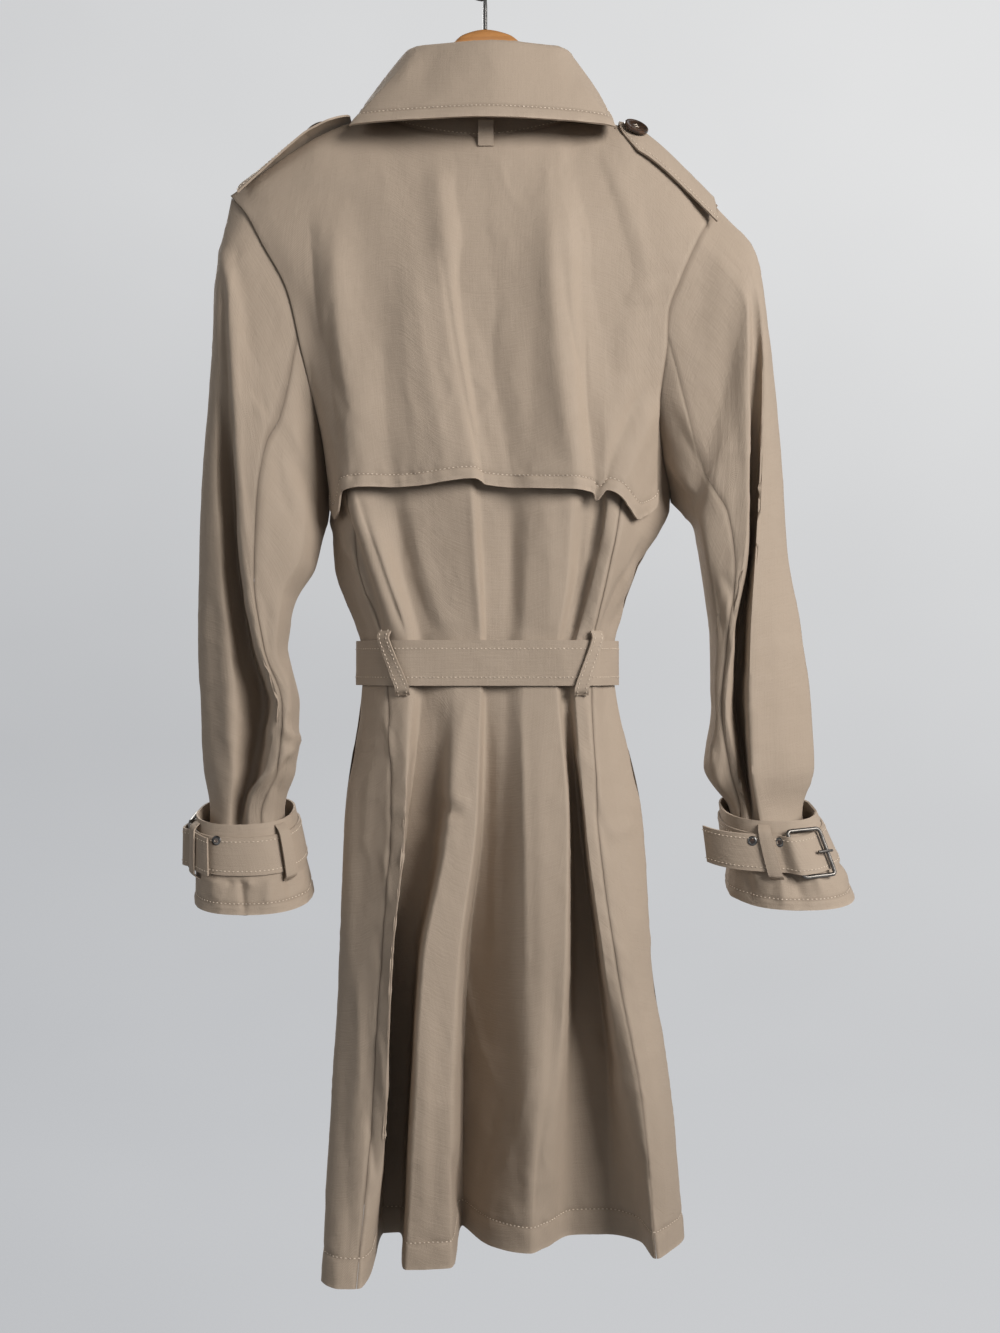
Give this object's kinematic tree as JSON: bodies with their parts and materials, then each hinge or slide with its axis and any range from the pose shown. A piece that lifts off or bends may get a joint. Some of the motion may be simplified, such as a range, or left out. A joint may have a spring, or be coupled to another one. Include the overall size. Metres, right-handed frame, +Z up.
{
  "type": "trench coat on a wooden hanger",
  "caption": "Belted double-breasted trench coat with storm flap, epaulets and strapped cuffs, hanging from its shoulders on a wooden hanger with a wire hook.",
  "frame": {"origin": "top of the inside of the hanger's hook, where it hangs on a rail", "axes": "+Z up, +X to the wearer's right, +Y to the wearer's front (the wall side as it hangs, its back faces the viewer)"},
  "size_m": [0.5699, 0.196, 1.119],
  "materials": {
    "gabardine": "matt cotton gabardine with a faint sheen",
    "dark_horn": "polished",
    "gunmetal": "dark plated",
    "beech": "varnished",
    "dark_steel": "dark plated"
  },
  "bodies": {
    "root": {"back_centre": "gabardine", "belt": "gabardine", "belt_buckle": "gunmetal", "belt_loop_l": "gabardine", "belt_loop_r": "gabardine", "belt_prong": "gunmetal", "collar_fall": "gabardine", "collar_stand": "gabardine", "cuff_buckle_l": "gunmetal", "cuff_buckle_r": "gunmetal", "cuff_l": "gabardine", "cuff_loop_l1": "gabardine", "cuff_loop_l2": "gabardine", "cuff_loop_r1": "gabardine", "cuff_loop_r2": "gabardine", "cuff_prong_l": "gunmetal", "cuff_prong_r": "gunmetal", "cuff_r": "gabardine", "cuff_strap_l": "gabardine", "cuff_strap_r": "gabardine", "epaulet_button_l": "dark_horn", "epaulet_button_r": "dark_horn", "epaulet_l": "gabardine", "epaulet_r": "gabardine", "front_button_1": "dark_horn", "front_button_2": "dark_horn", "front_button_3": "dark_horn", "front_button_4": "dark_horn", "front_button_5": "dark_horn", "front_button_6": "dark_horn", "front_button_7": "dark_horn", "front_button_8": "dark_horn", "front_l": "gabardine", "front_r": "gabardine", "hanger": "beech", "hanger_hook": "dark_steel", "lapel_l": "gabardine", "lapel_r": "gabardine", "locker_loop": "gabardine", "pocket_welt_l": "gabardine", "pocket_welt_r": "gabardine", "side_back_l": "gabardine", "side_back_r": "gabardine", "storm_flap": "gabardine", "top_sleeve_l": "gabardine", "top_sleeve_r": "gabardine", "under_sleeve_l": "gabardine", "under_sleeve_r": "gabardine"}
  },
  "joints": []
}
